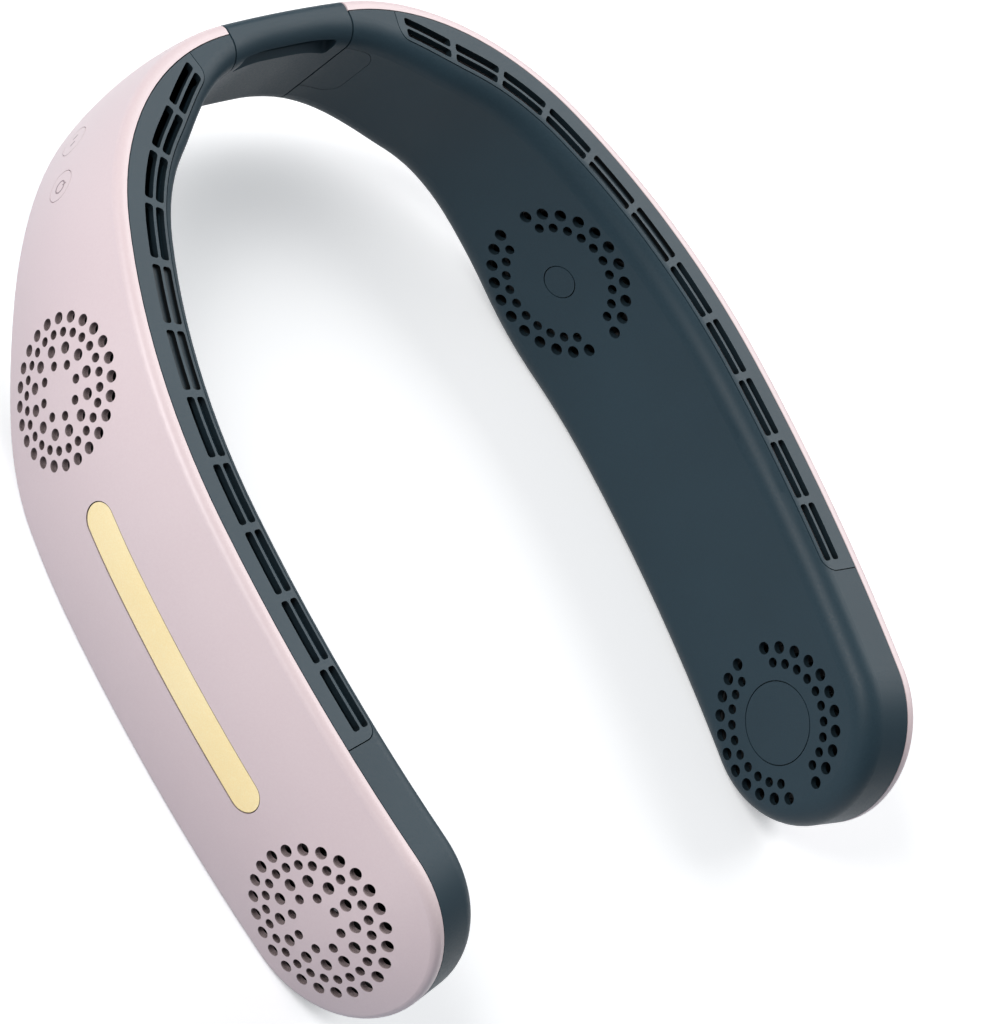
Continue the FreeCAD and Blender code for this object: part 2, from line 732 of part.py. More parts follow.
def make_base(boss):
    """Motor base: plate with the bearing post, and a boss that shows flush in the neck face."""
    top = WHEEL_NEAR + 2 * HUB_WALL + FIT
    plate = ring(BASE_RADIUS, 0, BASE_FAR - BASE_THICKNESS, BASE_FAR)
    post = ring(POST_RADIUS, 0, top + POST_WALL, BASE_FAR)
    show = ring(boss, 0, BASE_FAR - BASE_THICKNESS, ARM_THICKNESS + OVERRUN)
    bore = ring(POST_RADIUS - POST_WALL + GLUE_GAP, 0, 0, BASE_FAR - BASE_THICKNESS / 2)
    return plate.multiFuse([post, show]).cut(bore)


def make_bearing():
    """Sleeve bearing in the base's post."""
    top = WHEEL_NEAR + 2 * HUB_WALL + FIT
    far = BASE_FAR - BASE_THICKNESS / 2
    return ring(SHAFT_RADIUS + RUNNING_GAP + BEARING_WALL, SHAFT_RADIUS + RUNNING_GAP, top, far)


def make_scroll():
    """Spiral wall round the impeller, open towards the grille."""
    start = SCROLL_TONGUE
    centre = Vector(0, 0, 0)
    inside = []
    outside = []
    radius = SCROLL_RADIUS
    for index in range(3):
        angles = [math.radians(start + 90 * index + half * 45) for half in range(3)]
        rays = [Vector(math.cos(angle), math.sin(angle), 0) for angle in angles]
        inside.append(Part.Arc(*[centre + ray * radius for ray in rays]).toShape())
        outside.append(Part.Arc(*[centre + ray * (radius + SCROLL_WALL) for ray in rays]).toShape())
        centre = centre - rays[-1] * SCROLL_STEP
        radius += SCROLL_STEP
    wall = prism(inside, outside, 0.0, NECK_WALL + OVERRUN - SCROLL_NEAR)
    wall.translate(-UP * (NECK_WALL + OVERRUN))
    return wall


def make_battery():
    """Pouch cell with soft edges, flat against the neck side."""
    half = BATTERY_LENGTH / 2
    wide = BATTERY_WIDTH / 2
    far = NECK_WALL - FIT
    cell = inward(box_face(-half, half, -wide, wide, 2 * BATTERY_ROUND), far - BATTERY_THICKNESS, far)
    cell = cell.makeFillet(BATTERY_ROUND, [edge for edge in cell.Edges if not upright(edge)])
    return placed(cell, pose(BATTERY_STATION, MIDDLE))


def control_pose(level):
    """Local frame of the controls, on the crowned face in front of the board."""
    return pose(BOARD_STATION, level, crown_rise(BOARD_STATION, BUTTON_LEVEL))


def make_button(arm, offset):
    """Push button: cap flush with the outer face, retaining flange and stem."""
    cap = ring(BUTTON_RADIUS, 0, -OVERRUN, FLANGE_NEAR)
    flange = ring(BUTTON_RADIUS + FLANGE_LIP, 0, FLANGE_NEAR, FLANGE_NEAR + FLANGE_THICKNESS)
    stem = ring(STEM_RADIUS, 0, FLANGE_NEAR, STEM_END)
    button = cap.multiFuse([flange, stem])
    button.translate(ACROSS * offset)
    return placed(button, control_pose(BUTTON_LEVEL)).common(arm)


def make_switch(offset):
    """Small push switch on the board under a button."""
    half = SWITCH_SIDE / 2
    case = inward(box_face(-half, half, -half, half, LEAST_ROUND), SWITCH_NEAR, BOARD_NEAR)
    switch = case.fuse(ring(PLUNGER_RADIUS, 0, PLUNGER_NEAR, SWITCH_NEAR + SWITCH_HEIGHT / 2))
    switch.translate(ACROSS * offset)
    return placed(switch, control_pose(BUTTON_LEVEL))


def make_board():
    """Flat control board behind the buttons."""
    half = BOARD_LENGTH / 2
    face = box_face(-half, half, BOARD_BOTTOM, BOARD_TOP, LEAST_ROUND)
    return placed(inward(face, BOARD_NEAR, BOARD_FAR), control_pose(0.0))


def board_bosses():
    """Four posts in the inner shell that carry the board."""
    across = BOARD_LENGTH / 2 - BOSS_INSET
    far = ARM_THICKNESS + crown_rise(BOARD_STATION, BUTTON_LEVEL)
    posts = []
    for x in (-across, across):
        for y in (BOARD_BOTTOM + BOSS_INSET, BOARD_TOP - BOSS_INSET):
            post = ring(BOSS_RADIUS, 0, BOARD_FAR, far)
            post.translate(Vector(x, y, 0))
            posts.append(placed(post, control_pose(0.0)))
    return posts


def socket_prism(grow, bottom, top):
    """Stadium prism of the charging socket, standing on the base of the arm."""
    half = SOCKET_WIDTH / 2 + grow
    deep = SOCKET_DEPTH / 2 + grow
    middle = BOARD_FAR + SOCKET_DEPTH / 2
    solid = box_face(-half, half, -deep, deep, deep - TOUCH).extrude(UP * (top - bottom))
    place = control_pose(0.0)
    lie_down = Placement(Vector(0, 0, -middle), Rotation(ACROSS, -UP, Vector(0, 1, 0), "ZXY"))
    rise = Placement(UP * bottom, Rotation())
    return placed(solid, rise.multiply(place.multiply(lie_down)))


def make_socket():
    """Charging socket: stadium sleeve with a back wall."""
    mouth = REAR_RISE + SOCKET_RECESS
    back = mouth + SOCKET_LENGTH
    sleeve = socket_prism(0.0, mouth, back)
    return sleeve.cut(socket_prism(-SOCKET_WALL, mouth - OVERRUN, back - SOCKET_WALL))


def make_tongue():
    """Contact tongue that stands on the socket's back wall."""
    middle = BOARD_FAR + SOCKET_DEPTH / 2
    half = TONGUE_WIDTH / 2
    thin = TONGUE_THICKNESS / 2
    back = REAR_RISE + SOCKET_RECESS + SOCKET_LENGTH - SOCKET_WALL
    face = box_face(-half, half, back - TONGUE_LENGTH, back, 0)
    return placed(inward(face, middle - thin, middle + thin), control_pose(0.0))


def make_cable():
    """Link cable along the back, from the board to the left upper blower's scroll."""
    start = SCROLL_RADIUS + 3 * SCROLL_STEP + SCROLL_WALL + FIT - UPPER_STATION
    end = BOARD_STATION - BOARD_LENGTH / 2 - FIT
    runs = []
    for edge in outer_edges(CABLE_DEPTH, start, end):
        ahead = edge.tangentAt(edge.FirstParameter)
        circle = Part.Circle(edge.valueAt(edge.FirstParameter), ahead, CABLE_RADIUS)
        section = Part.Face(Part.Wire(circle.toShape()))
        turn = math.degrees(edge.LastParameter - edge.FirstParameter)
        runs.append(section.revolve(edge.Curve.Center, edge.Curve.Axis, turn))
    cable = runs[0].multiFuse(runs[1:])
    cable.translate(UP * REAR_MIDDLE)
    return cable


BLOWERS = {
    "upper": (UPPER_STATION, MIDDLE + UPPER_LIFT, UPPER_BOSS, UPPER_RING_INSET),
    "tip": (TIP_STATION, MIDDLE + TIP_LIFT, TIP_BOSS, TIP_RING_INSET),
}


def blower_nodes(arm):
    """Pieces of the four blowers, the same motor and impeller in each."""
    impeller = make_impeller()
    stator = make_stator()
    bearing = make_bearing()
    shaft = ring(SHAFT_RADIUS, 0, WHEEL_NEAR + HUB_WALL / 2, BASE_FAR - BASE_THICKNESS)
    magnet_bore = HUB_RADIUS - HUB_WALL - MAGNET_WALL
    magnet = ring(HUB_RADIUS - HUB_WALL - GLUE_GAP, magnet_bore, WHEEL_NEAR + 2 * HUB_WALL + FIT, WHEEL_FAR)
    room = arm_body(WALL + FIT, REAR_HALF)
    nodes = {}
    for name, (station, level, boss, _) in BLOWERS.items():
        scroll = placed(make_scroll(), pose(station, level)).common(room)
        base = placed(make_base(boss), pose(station, level)).common(arm)
        nodes[f"right_{name}_scroll"] = scroll
        nodes[f"left_{name}_scroll"] = mirrored(scroll)
        nodes[f"right_{name}_motor_base"] = base
        nodes[f"left_{name}_motor_base"] = mirrored(base)
        for side, sign in (("right", 1), ("left", -1)):
            place = pose(sign * station, level)
            nodes[f"{side}_{name}_impeller"] = placed(impeller, place)
            nodes[f"{side}_{name}_magnet_ring"] = placed(magnet, place)
            nodes[f"{side}_{name}_shaft"] = placed(shaft, place)
            nodes[f"{side}_{name}_stator"] = placed(stator, place)
            nodes[f"{side}_{name}_bearing"] = placed(bearing, place)
    return nodes


def arm_nodes(arm):
    """Shells, grille, accent bar, seam cover and battery of both arms."""
    outer, inner = make_shells(arm)
    pieces = {
        "outer_shell": outer,
        "inner_shell": inner,
        "air_grille": make_grille(arm),
        "accent_bar": bar_solid(0.0, BAR_SINK, BAR_SINK + BAR_THICKNESS),
        "seam_cover": tab_solid(0.0, TAB_DEPTH).common(arm),
        "battery": make_battery(),
    }
    nodes = {}
    for name, shape in pieces.items():
        nodes[f"right_{name}"] = shape
        nodes[f"left_{name}"] = mirrored(shape)
    return nodes


def control_nodes(arm, nodes):
    """Buttons, switches, board and socket of the right arm, and their openings in its shells."""
    half = BUTTON_PITCH / 2
    outer = nodes["right_outer_shell"]
    for name, offset in (("power", half), ("mode", -half)):
        hole = ring(BUTTON_RADIUS + BUTTON_GAP, 0, -OVERRUN, FLANGE_NEAR + OVERRUN)
        hole.translate(ACROSS * offset)
        outer = outer.cut(placed(hole, control_pose(BUTTON_LEVEL)))
        nodes[f"{name}_button"] = make_button(arm, offset)
        nodes[f"{name}_switch"] = make_switch(offset)
    nodes["right_outer_shell"] = outer
    inner = nodes["right_inner_shell"].multiFuse(board_bosses())
    nodes["right_inner_shell"] = inner.cut(socket_prism(FIT, REAR_RISE - OVERRUN, REAR_RISE + WALL + OVERRUN))
    nodes["control_board"] = make_board()
    nodes["usb_c_socket"] = make_socket()
    nodes["usb_c_tongue"] = make_tongue()
    nodes["link_cable"] = make_cable()


def build():
    """All pieces by name, in the modelling frame."""
    arm = arm_body(0.0, REAR_HALF)
    nodes = arm_nodes(arm)
    control_nodes(arm, nodes)
    nodes["rear_bridge"] = make_bridge()
    nodes.update(blower_nodes(arm))
    return nodes, arm.optimalBoundingBox(False, False).YMin


def main():
    """Centre the fan on its footprint and write one file per piece."""
    os.makedirs("parts", exist_ok=True)
    nodes, front = build()
    for name, shape in nodes.items():
        moved = shape.removeSplitter()
        moved.translate(Vector(0, -front / 2, 0))
        moved.exportStep(f"parts/{name}.step")
        solids = len(moved.Solids)
        print(name, "solids", solids, "valid", moved.isValid(), "volume", round(moved.Volume, 1))


if __name__ == "__main__":
    main()
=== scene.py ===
import logging
import math
from dataclasses import dataclass, field
from enum import Enum
from typing import Any

import bmesh
import bpy
from mathutils import Matrix, Vector


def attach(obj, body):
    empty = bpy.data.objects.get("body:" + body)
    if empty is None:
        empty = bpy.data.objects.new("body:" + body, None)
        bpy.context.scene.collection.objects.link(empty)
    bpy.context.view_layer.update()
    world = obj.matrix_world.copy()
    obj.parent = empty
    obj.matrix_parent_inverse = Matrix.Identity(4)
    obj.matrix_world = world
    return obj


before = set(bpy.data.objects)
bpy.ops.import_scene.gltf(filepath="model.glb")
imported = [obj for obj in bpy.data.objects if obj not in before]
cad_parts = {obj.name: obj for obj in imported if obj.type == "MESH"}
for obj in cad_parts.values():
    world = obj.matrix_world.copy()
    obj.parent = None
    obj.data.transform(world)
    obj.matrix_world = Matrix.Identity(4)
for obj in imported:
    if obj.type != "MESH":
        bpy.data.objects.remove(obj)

LOG = logging.getLogger("neck_fan")
MM = 0.001
# sRGB curve: where its straight foot ends, the slope of that foot, and the offset and power of the rest
SRGB_FOOT, SRGB_SLOPE, SRGB_OFFSET, SRGB_POWER = 0.04045, 12.92, 0.055, 2.4
# Nearly all values of a noise texture lie between these two
NOISE_LOW, NOISE_HIGH = 0.3, 0.7
# Sockets of a Mix node by place, because its numbers and its colours share their names
MIX_BY, NUMBER_A, NUMBER_B, COLOUR_A, COLOUR_B, COLOUR_OUT = 0, 2, 3, 6, 7, 2

Paints = dict[str, bpy.types.Material]


class Body(Enum):
    """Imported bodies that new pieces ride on."""

    POWER = "power_key"
    MODE = "mode_key"


class Side(Enum):
    """Arm that a piece belongs to, by the wearer's side."""

    RIGHT = "right"
    LEFT = "left"


def linear(code: str) -> tuple[float, float, float, float]:
    """Turn an sRGB hex colour into linear values.

    Args:
        code: Six hex digits, with or without a leading hash.

    Returns:
        Linear red, green and blue with an alpha of one.
    """
    digits = code.lstrip("#")
    red, green, blue = (
        c / SRGB_SLOPE if c <= SRGB_FOOT else ((c + SRGB_OFFSET) / (1 + SRGB_OFFSET)) ** SRGB_POWER
        for c in (int(digits[i:i + 2], 16) / 255 for i in (0, 2, 4)))
    return red, green, blue, 1.0


def per_metre(size_mm: float) -> float:
    """Texture scale that repeats once in a real size given in millimetres."""
    return 1.0 / (size_mm * MM)


def add(tree: bpy.types.NodeTree, kind: str, sockets: dict[Any, Any] | None = None,
        **settings: Any) -> bpy.types.Node:
    """Add one node, with its settings, socket values and links.

    Args:
        tree: Node tree to add to.
        kind: Blender's node type name.
        sockets: Input name or index to a value, or to an output socket to link from.
        settings: Node properties by name.

    Returns:
        The new node.
    """
    node = tree.nodes.new(kind)
    for name, value in settings.items():
        setattr(node, name, value)
    for key, value in (sockets or {}).items():
        if isinstance(value, bpy.types.NodeSocket):
            tree.links.new(value, node.inputs[key])
        else:
            node.inputs[key].default_value = value
    return node


def blank_material(name: str) -> tuple[bpy.types.Material, bpy.types.NodeTree, bpy.types.Node]:
    """Start a node material with an empty tree and an output.

    Args:
        name: Name of the finish.

    Returns:
        The material, its tree and its output node.
    """
    material = bpy.data.materials.new(name)
    material.use_nodes = True
    tree = material.node_tree
    tree.nodes.clear()
    return material, tree, tree.nodes.new("ShaderNodeOutputMaterial")


@dataclass(frozen=True)
class Moulding:
    """Injection-moulded plastic with the grain that its mould left on it."""

    name: str
    light: str
    dark: str
    roughness: float
    grain_mm: float
    grain_strength: float
    grain_depth_mm: float = 0.02
    grain_detail: float = 3.0
    grain_falloff: float = 0.6
    roughness_spread: float = 0.05
    drift_mm: float = 38.0
    drift_detail: float = 2.0
    ior: float = 1.53
    specular: float = 0.5
    coat: float = 0.0
    coat_roughness: float = 0.3
    # Painted shade: a dark colour mixed in by ambient occlusion inside holes and grooves, with its reach,
    # occlusion span and ray count; empty colour for none
    painted_shade: str = ""
    painted_shade_reach_mm: float = 3.0
    painted_shade_span: tuple[float, float] = (0.42, 0.88)
    painted_shade_rays: int = 8

    def paint_hollow_shade(self, tree: bpy.types.NodeTree, colour: bpy.types.NodeSocket) -> bpy.types.NodeSocket:
        """Paint shade into the colour: it sinks towards a dark tone inside narrow holes and grooves, by how
        occluded the surface is.

        Args:
            tree: Node tree to add to.
            colour: Colour of the open surface.

        Returns:
            The colour with painted shade in its hollows.
        """
        deep, shallow = self.painted_shade_span
        reach = add(tree, "ShaderNodeAmbientOcclusion", {"Distance": self.painted_shade_reach_mm * MM},
                    samples=self.painted_shade_rays, only_local=True)
        depth = add(tree, "ShaderNodeMapRange", {
            "Value": reach.outputs["AO"], "From Min": deep, "From Max": shallow})
        return add(tree, "ShaderNodeMix", {
            MIX_BY: depth.outputs["Result"], COLOUR_A: linear(self.painted_shade), COLOUR_B: colour},
            data_type="RGBA").outputs[COLOUR_OUT]

    def material(self) -> bpy.types.Material:
        """Build the plastic: slow colour drift, grain in bump and in roughness, and painted shade in its hollows
        where a shade colour is given.

        Returns:
            The finished material.
        """
        material, tree, out = blank_material(self.name)
        where = add(tree, "ShaderNodeTexCoord").outputs["Object"]
        drift = add(tree, "ShaderNodeTexNoise", {
            "Vector": where, "Scale": per_metre(self.drift_mm), "Detail": self.drift_detail}).outputs["Fac"]
        grain = add(tree, "ShaderNodeTexNoise", {
            "Vector": where, "Scale": per_metre(self.grain_mm), "Detail": self.grain_detail,
            "Roughness": self.grain_falloff}).outputs["Fac"]
        total = add(tree, "ShaderNodeMath", {0: drift, 1: grain}, operation="ADD")
        mean = add(tree, "ShaderNodeMath", {0: total.outputs[0], 1: 0.5}, operation="MULTIPLY")
        ramp = add(tree, "ShaderNodeValToRGB", {"Fac": mean.outputs[0]})
        dark, light = ramp.color_ramp.elements
        dark.position, dark.color = NOISE_LOW, linear(self.dark)
        light.position, light.color = NOISE_HIGH, linear(self.light)
        rough = add(tree, "ShaderNodeMapRange", {
            "Value": grain, "From Min": NOISE_LOW, "From Max": NOISE_HIGH,
            "To Min": self.roughness - self.roughness_spread,
            "To Max": self.roughness + self.roughness_spread})
        bump = add(tree, "ShaderNodeBump", {
            "Height": grain, "Strength": self.grain_strength, "Distance": self.grain_depth_mm * MM})
        colour = ramp.outputs["Color"]
        # The base colour carries the painted shade in hollows when a shade colour is given
        shader = add(tree, "ShaderNodeBsdfPrincipled", {
            "Base Color": self.paint_hollow_shade(tree, colour) if self.painted_shade else colour,
            "Roughness": rough.outputs["Result"], "Normal": bump.outputs["Normal"], "IOR": self.ior,
            "Specular IOR Level": self.specular, "Coat Weight": self.coat,
            "Coat Roughness": self.coat_roughness})
        tree.links.new(shader.outputs["BSDF"], out.inputs["Surface"])
        return material


@dataclass(frozen=True)
class Metal:
    """Bare metal whose streaks or grain come from how it was worked."""

    name: str
    light: str
    dark: str
    roughness: float
    grain_mm: float
    grain_detail: float = 4.0
    grain_depth_mm: float = 0.02
    grain_strength: float = 0.1
    roughness_share: float = 0.2

    def material(self) -> bpy.types.Material:
        """Build the metal: fine grain that varies colour, gloss and bump.

        Returns:
            The finished material.
        """
        material, tree, out = blank_material(self.name)
        where = add(tree, "ShaderNodeTexCoord").outputs["Object"]
        grain = add(tree, "ShaderNodeTexNoise", {
            "Vector": where, "Scale": per_metre(self.grain_mm), "Detail": self.grain_detail}).outputs["Fac"]
        ramp = add(tree, "ShaderNodeValToRGB", {"Fac": grain})
        dark, light = ramp.color_ramp.elements
        dark.color, light.color = linear(self.dark), linear(self.light)
        rough = add(tree, "ShaderNodeMapRange", {
            "Value": grain, "To Min": self.roughness * (1 - self.roughness_share),
            "To Max": self.roughness * (1 + self.roughness_share)})
        bump = add(tree, "ShaderNodeBump", {
            "Height": grain, "Strength": self.grain_strength, "Distance": self.grain_depth_mm * MM})
        shader = add(tree, "ShaderNodeBsdfPrincipled", {
            "Base Color": ramp.outputs["Color"], "Roughness": rough.outputs["Result"], "Metallic": 1.0,
            "Normal": bump.outputs["Normal"]})
        tree.links.new(shader.outputs["BSDF"], out.inputs["Surface"])
        return material


@dataclass(frozen=True)
class FlakeLacquer:
    """Metal lacquer on a moulded bar: fine flakes under a clear coat."""

    name: str
    light: str
    dark: str
    flake_mm: float
    flake_share: float = 0.35
    flake_depth_mm: float = 0.02
    flake_strength: float = 0.05
    drift_mm: float = 30.0
    drift_detail: float = 1.0
    tone_span: tuple[float, float] = (0.25, 0.6)
    metallic: float = 0.7
    roughness: float = 0.32
    coat: float = 0.3
    coat_roughness: float = 0.12

    def material(self) -> bpy.types.Material:
        """Build the lacquer: flake cells tint a pale metal under a glossy coat.

        Returns:
            The finished material.
        """
        material, tree, out = blank_material(self.name)
        where = add(tree, "ShaderNodeTexCoord").outputs["Object"]
        flakes = add(tree, "ShaderNodeTexVoronoi", {
            "Vector": where, "Scale": per_metre(self.flake_mm)}).outputs["Distance"]
        drift = add(tree, "ShaderNodeTexNoise", {
            "Vector": where, "Scale": per_metre(self.drift_mm), "Detail": self.drift_detail}).outputs["Fac"]
        mixed = add(tree, "ShaderNodeMix", {MIX_BY: self.flake_share, NUMBER_A: drift, NUMBER_B: flakes})
        ramp = add(tree, "ShaderNodeValToRGB", {"Fac": mixed.outputs[0]})
        dark, light = ramp.color_ramp.elements
        dark.position, light.position = self.tone_span
        dark.color, light.color = linear(self.dark), linear(self.light)
        bump = add(tree, "ShaderNodeBump", {
            "Height": flakes, "Strength": self.flake_strength, "Distance": self.flake_depth_mm * MM})
        shader = add(tree, "ShaderNodeBsdfPrincipled", {
            "Base Color": ramp.outputs["Color"], "Roughness": self.roughness, "Metallic": self.metallic,
            "Normal": bump.outputs["Normal"], "Coat Weight": self.coat,
            "Coat Roughness": self.coat_roughness})
        tree.links.new(shader.outputs["BSDF"], out.inputs["Surface"])
        return material


Finish = Moulding | Metal | FlakeLacquer

# The real mould grain, metal grain and flakes are finer than a pixel, so they are drawn coarser here, to show

# Pale pink ABS with a satin spark-eroded skin: soft sheen at the rims, no sharp mirror, a brown painted shade in
# its holes
PINK = Moulding("pink_satin_abs", "#ead6d6", "#e5cfd0", roughness=0.42, grain_mm=0.6, grain_strength=0.08,
                grain_depth_mm=0.01, coat=0.08, painted_shade="#2a1a19")
# Slate ABS with a fine spark-eroded grain: dark to the eye, with a broad grey sheen where it faces the light, and
# a darker painted shade in its holes and grooves
SLATE = Moulding("slate_textured_abs", "#2c404a", "#253740", roughness=0.5, grain_mm=0.45, grain_strength=0.25,
                 roughness_spread=0.07, specular=0.25, painted_shade="#12191d")
# Same slate on the thinner grille strip: a touch smoother, so its ribs catch the light, with a strong painted
# shade that turns its slots near black
GRILLE = Moulding("slate_grille_abs", "#2e424c", "#273942", roughness=0.48, grain_mm=0.45, grain_strength=0.22,
                  roughness_spread=0.07, specular=0.28, painted_shade="#05080a", painted_shade_reach_mm=5.0,
                  painted_shade_span=(0.55, 0.93))
# Moulded motor discs in the neck face: the same tone, with a slightly tighter sheen
DISC = Moulding("slate_motor_disc_abs", "#2b3f49", "#24363f", roughness=0.46, grain_mm=0.45, grain_strength=0.2,
                roughness_spread=0.06, specular=0.25)
# Dark glass-filled nylon of the wheels: near black behind the holes
WHEEL = Moulding("black_impeller_nylon", "#1c1d1f", "#151618", roughness=0.55, grain_mm=0.8, grain_strength=0.15)
# Dark inner wall of each blower: keeps the holes and slots deep and black
SCROLL = Moulding("black_scroll_abs", "#191a1c", "#131415", roughness=0.6, grain_mm=0.8, grain_strength=0.15)
# Black nylon of switches and contact tongue: dull, with moulding grain
SWITCH = Moulding("black_switch_nylon", "#1d1e20", "#151617", roughness=0.5, grain_mm=0.5, grain_strength=0.15)
# Green solder mask: a wet-looking lacquer over copper
BOARD = Moulding("green_solder_mask", "#155c38", "#0f4a2c", roughness=0.3, grain_mm=1.2, grain_strength=0.1,
                 coat=0.3)
# Soft black PVC of the cable: dull and slightly waxy
CABLE = Moulding("black_pvc_jacket", "#1a1b1c", "#131415", roughness=0.55, grain_mm=0.7, grain_strength=0.2)
# Rose-grey ink of the button marks: matt and faint, darker than the shell
INK = Moulding("rose_grey_pad_print", "#a58e91", "#9b8487", roughness=0.6, grain_mm=0.3, grain_strength=0.1,
               grain_depth_mm=0.005)
# Champagne metal lacquer: pale gold flakes that softly mirror the bright room
CHAMPAGNE = FlakeLacquer("champagne_metal_lacquer", "#f6e5b6", "#f3dca2", flake_mm=0.35)
# Ground steel of the shafts: bright and finely grained
STEEL = Metal("ground_shaft_steel", "#c9cbce", "#a9abae", roughness=0.25, grain_mm=0.6)
# Nickel-plated socket sleeve: bright, softly mottled
PLATE = Metal("nickel_plated_steel", "#d0d1d3", "#b4b5b8", roughness=0.28, grain_mm=0.8)
# Stacked stator sheets: dull grey-brown from varnish
CORE = Metal("laminated_stator_steel", "#8a8580", "#6b665f", roughness=0.45, grain_mm=0.5)
# Sintered magnet ring: dark and sandy
MAGNET = Metal("sintered_magnet", "#4a4a4c", "#38383a", roughness=0.5, grain_mm=0.4)
# Sintered bearing bronze: warm, pitted and oily
BRONZE = Metal("sintered_bronze", "#b98d55", "#98703e", roughness=0.45, grain_mm=0.3)
# Battery pouch foil: silvery with slow dents
FOIL = Metal("battery_pouch_foil", "#c6c8cc", "#a5a8ad", roughness=0.42, grain_mm=2.5)

FINISHES: tuple[Finish, ...] = (
    PINK, SLATE, GRILLE, DISC, WHEEL, SCROLL, SWITCH, BOARD, CABLE, INK, CHAMPAGNE, STEEL, PLATE, CORE, MAGNET,
    BRONZE, FOIL)


@dataclass
class Plan:
    """Plan of the outer face as tangent arcs, in millimetres, from the middle of the back."""

    arcs: tuple[tuple[float, float], ...] = ((511.0, 20.0), (68.6, 73.1), (158.0, 71.0), (400.0, 110.0))
    rear: float = 104.124

    def frame_at(self, station: float, level: float) -> Matrix:
        """Local frame on the right arm's outer face.

        Args:
            station: Distance round the outer face, in millimetres.
            level: Height above the base, in millimetres.

        Returns:
            Matrix with x along the arm, y up and z out of the face, in metres.
        """
        x, y, heading = 0.0, 0.0, 0.0
        for radius, length in self.arcs:
            step = min(station, length)
            turn = step / radius
            x -= radius * (math.sin(heading + turn) - math.sin(heading))
            y -= radius * (math.cos(heading) - math.cos(heading + turn))
            heading += turn
            station -= step
        along = Vector((-math.cos(heading), -math.sin(heading), 0))
        out = Vector((-math.sin(heading), math.cos(heading), 0))
        turned = Matrix((along, Vector((0, 0, 1)), out)).transposed().to_4x4()
        return Matrix.Translation(Vector((x, y + self.rear, level)) * MM) @ turned


@dataclass
class Assembly:
    """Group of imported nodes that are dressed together."""

    def finishes(self) -> dict[str, Finish]:
        """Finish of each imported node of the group, by the node's name."""
        raise NotImplementedError

    def dress(self, paints: Paints) -> list[str]:
        """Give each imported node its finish.

        Args:
            paints: Finished materials by name.

        Returns:
            Names of the dressed pieces.
        """
        pieces = self.finishes()
        for name, finish in pieces.items():
            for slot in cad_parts[name].material_slots:
                slot.material = paints[finish.name]
        return list(pieces)


@dataclass
class Housing(Assembly):
    """Shells of both arms, the bridge, seam covers, grilles and accent bars."""

    arm: dict[str, Finish] = field(default_factory=lambda: {
        "outer_shell": PINK, "inner_shell": SLATE, "air_grille": GRILLE, "accent_bar": CHAMPAGNE,
        "seam_cover": SLATE})

    def finishes(self) -> dict[str, Finish]:
        """Finish of each shell piece of both arms, and of the bridge."""
        pieces = {f"{side.value}_{piece}": finish for side in Side for piece, finish in self.arm.items()}
        return pieces | {"rear_bridge": SLATE}


@dataclass
class Blowers(Assembly):
    """The four blowers inside the arms."""

    places: tuple[str, ...] = ("upper", "tip")
    blower: dict[str, Finish] = field(default_factory=lambda: {
        "impeller": WHEEL, "magnet_ring": MAGNET, "shaft": STEEL, "stator": CORE, "bearing": BRONZE,
        "scroll": SCROLL, "motor_base": DISC})

    def finishes(self) -> dict[str, Finish]:
        """Finish of each piece of the four blowers."""
        return {f"{side.value}_{place}_{piece}": finish for side in Side for place in self.places
                for piece, finish in self.blower.items()}


